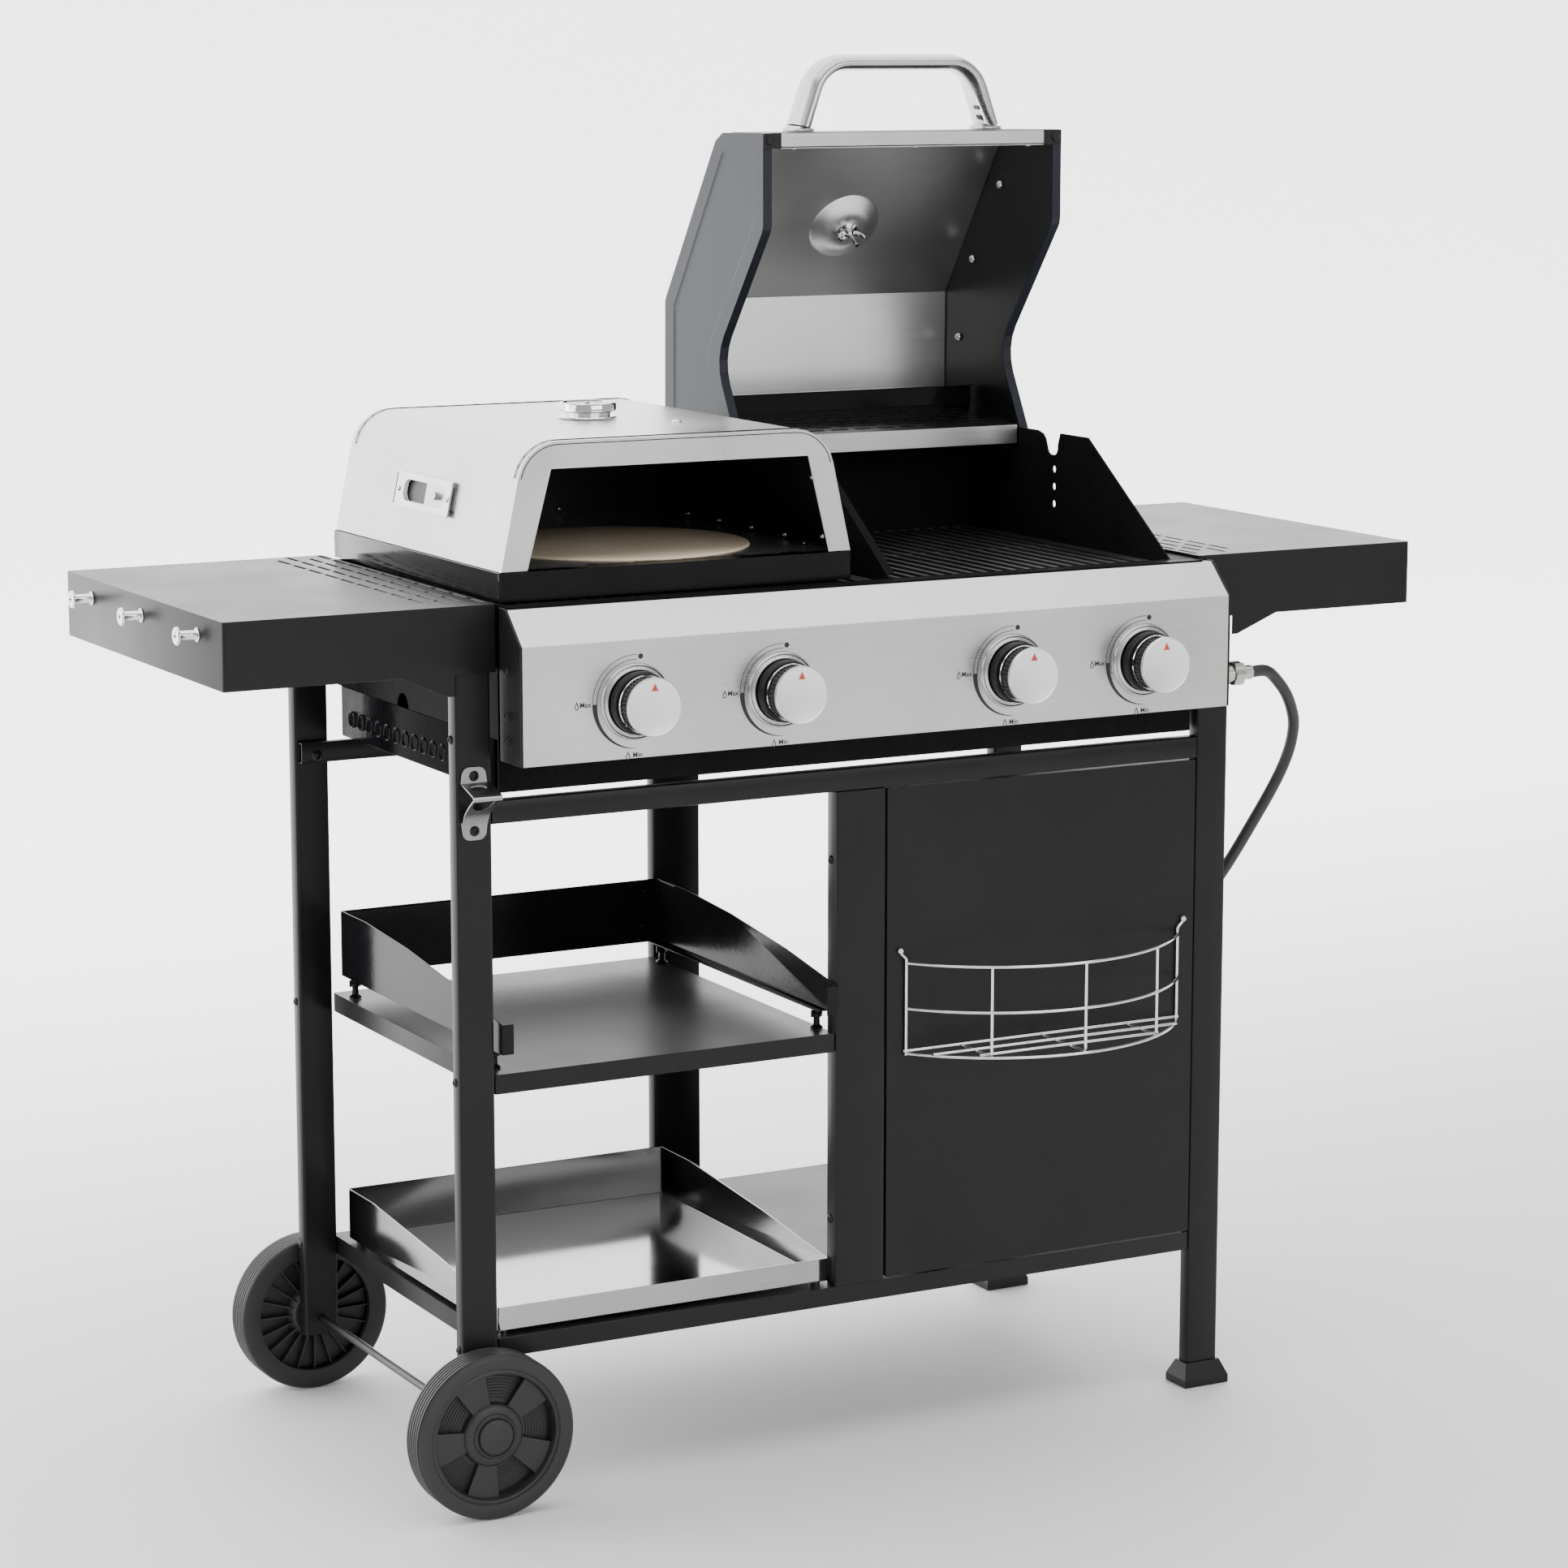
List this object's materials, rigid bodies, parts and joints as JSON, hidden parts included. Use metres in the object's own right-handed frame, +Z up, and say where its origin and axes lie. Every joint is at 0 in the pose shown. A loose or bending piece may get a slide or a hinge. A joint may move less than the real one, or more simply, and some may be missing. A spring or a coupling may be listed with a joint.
{
  "type": "gas barbecue grill",
  "caption": "Gas barbecue on a wheeled cart with knobs, an open-lidded grill chamber, a pizza oven over the other half, side tables, shelves, a cabinet door with a wire basket and a gas hose.",
  "frame": {"origin": "centre of the footprint, on the floor", "axes": "+X towards the right side table and the gas inlet, +Y towards the back, +Z up"},
  "size_m": [1.326, 0.5534, 1.3671],
  "materials": {
    "powder_coat": "fine satin anthracite powder coat",
    "grey_coat": "satin slate grey coat",
    "gloss_enamel": "gloss black enamel",
    "stainless": "brushed stainless steel",
    "chrome": "bright chrome plating",
    "zinc": "zinc plated steel",
    "cast_iron": "matt black enamelled cast iron",
    "wheel_plastic": "black moulded plastic with a soft tread",
    "foot_plastic": "black moulded plastic",
    "hose_rubber": "smooth black rubber",
    "stone": "matt sand-coloured fired clay"
  },
  "bodies": {
    "cart": {"leg_front_left": "powder_coat", "leg_rear_left": "powder_coat", "leg_front_right": "powder_coat", "leg_rear_right": "powder_coat", "column_front": "powder_coat", "column_rear": "powder_coat", "rail_front": "powder_coat", "rail_rear": "powder_coat", "mid_shelf": "powder_coat", "bottom_shelf": "powder_coat", "side_table_left": "powder_coat", "side_table_right": "powder_coat", "panel_end_left": "powder_coat", "panel_end_right": "powder_coat", "firebox": "gloss_enamel", "rear_shelf": "gloss_enamel", "control_panel": "stainless", "bottle_opener": "stainless", "burner_1": "stainless", "burner_2": "stainless", "burner_3": "stainless", "burner_4": "stainless", "flame_tamer_left": "stainless", "flame_tamer_right": "stainless", "tool_hook_1": "chrome", "tool_hook_2": "chrome", "tool_hook_3": "chrome", "axle": "zinc", "manifold": "zinc", "regulator": "zinc", "foot_front_right": "foot_plastic", "foot_rear_right": "foot_plastic", "hose": "hose_rubber"},
    "lid": {"lid_shell": "grey_coat", "lid_side_left": "grey_coat", "lid_side_right": "grey_coat", "lid_handle": "stainless", "lid_thermometer": "stainless"},
    "door": {"door": "powder_coat"},
    "basket": {"basket": "chrome"},
    "valve_stem_1": {"valve_stem_1": "zinc"},
    "knob_1": {"knob_1": "stainless"},
    "valve_stem_2": {"valve_stem_2": "zinc"},
    "knob_2": {"knob_2": "stainless"},
    "valve_stem_3": {"valve_stem_3": "zinc"},
    "knob_3": {"knob_3": "stainless"},
    "valve_stem_4": {"valve_stem_4": "zinc"},
    "knob_4": {"knob_4": "stainless"},
    "wheel_front": {"wheel_front": "wheel_plastic"},
    "wheel_rear": {"wheel_rear": "wheel_plastic"},
    "grate_left": {"grate_left": "cast_iron"},
    "grate_right": {"grate_right": "cast_iron"},
    "oven": {"oven_base": "gloss_enamel", "oven_shell": "stainless", "oven_thermometer": "stainless"},
    "pizza_stone": {"pizza_stone": "stone"},
    "vent_shutter": {"oven_vent_shutter": "stainless"},
    "wind_guard": {"wind_guard": "gloss_enamel"},
    "griddle_tray": {"griddle_tray": "stainless"},
    "drip_tray": {"drip_tray": "gloss_enamel"}
  },
  "joints": [
    {"name": "lid_hinge", "type": "hinge", "parent": "cart", "child": "lid", "pos_m": [0.211, 0.13675, 0.954], "axis": [1, 0, 0], "range_deg": [0, 90]},
    {"name": "door_hinge", "type": "hinge", "parent": "cart", "child": "door", "pos_m": [0.4035, -0.18205, 0.414], "axis": [0, 0, 1], "range_deg": [0, 105]},
    {"name": "basket_lift", "type": "slide", "parent": "door", "child": "basket", "axis": [0, 0, 1], "range_m": [0, 0.03]},
    {"name": "knob_push_1", "type": "slide", "parent": "cart", "child": "valve_stem_1", "axis": [0, 1, 0], "range_m": [0, 0.004], "stiffness_N_per_m": 800},
    {"name": "knob_turn_1", "type": "hinge", "parent": "valve_stem_1", "child": "knob_1", "pos_m": [-0.2525, -0.24275, 0.777], "axis": [0, -1, 0], "range_deg": [0, 180]},
    {"name": "knob_push_2", "type": "slide", "parent": "cart", "child": "valve_stem_2", "axis": [0, 1, 0], "range_m": [0, 0.004], "stiffness_N_per_m": 800},
    {"name": "knob_turn_2", "type": "hinge", "parent": "valve_stem_2", "child": "knob_2", "pos_m": [-0.0985, -0.24275, 0.777], "axis": [0, -1, 0], "range_deg": [0, 180]},
    {"name": "knob_push_3", "type": "slide", "parent": "cart", "child": "valve_stem_3", "axis": [0, 1, 0], "range_m": [0, 0.004], "stiffness_N_per_m": 800},
    {"name": "knob_turn_3", "type": "hinge", "parent": "valve_stem_3", "child": "knob_3", "pos_m": [0.1565, -0.24275, 0.777], "axis": [0, -1, 0], "range_deg": [0, 180]},
    {"name": "knob_push_4", "type": "slide", "parent": "cart", "child": "valve_stem_4", "axis": [0, 1, 0], "range_m": [0, 0.004], "stiffness_N_per_m": 800},
    {"name": "knob_turn_4", "type": "hinge", "parent": "valve_stem_4", "child": "knob_4", "pos_m": [0.3085, -0.24275, 0.777], "axis": [0, -1, 0], "range_deg": [0, 180]},
    {"name": "wheel_front_spin", "type": "hinge", "parent": "cart", "child": "wheel_front", "pos_m": [-0.395, -0.20325, 0.0806], "axis": [0, 1, 0], "continuous": true},
    {"name": "wheel_rear_spin", "type": "hinge", "parent": "cart", "child": "wheel_rear", "pos_m": [-0.395, 0.24975, 0.0806], "axis": [0, 1, 0], "continuous": true},
    {"name": "grate_left_lift", "type": "slide", "parent": "cart", "child": "grate_left", "axis": [0, 0, 1], "range_m": [0, 0.006]},
    {"name": "oven_lift", "type": "slide", "parent": "grate_left", "child": "oven", "axis": [0, 0, 1], "range_m": [0, 0.15]},
    {"name": "stone_lift", "type": "slide", "parent": "oven", "child": "pizza_stone", "axis": [0, 0, 1], "range_m": [0, 0.05]},
    {"name": "vent_shutter_slide", "type": "slide", "parent": "oven", "child": "vent_shutter", "axis": [0, 1, 0], "range_m": [0, 0.03]},
    {"name": "grate_right_lift", "type": "slide", "parent": "cart", "child": "grate_right", "axis": [0, 0, 1], "range_m": [0, 0.08]},
    {"name": "wind_guard_slide", "type": "slide", "parent": "cart", "child": "wind_guard", "axis": [0, -1, 0], "range_m": [0, 0.4]},
    {"name": "griddle_slide", "type": "slide", "parent": "cart", "child": "griddle_tray", "axis": [0, -1, 0], "range_m": [0, 0.4]},
    {"name": "drip_tray_slide", "type": "slide", "parent": "cart", "child": "drip_tray", "axis": [0, 1, 0], "range_m": [0, 0.35]}
  ]
}
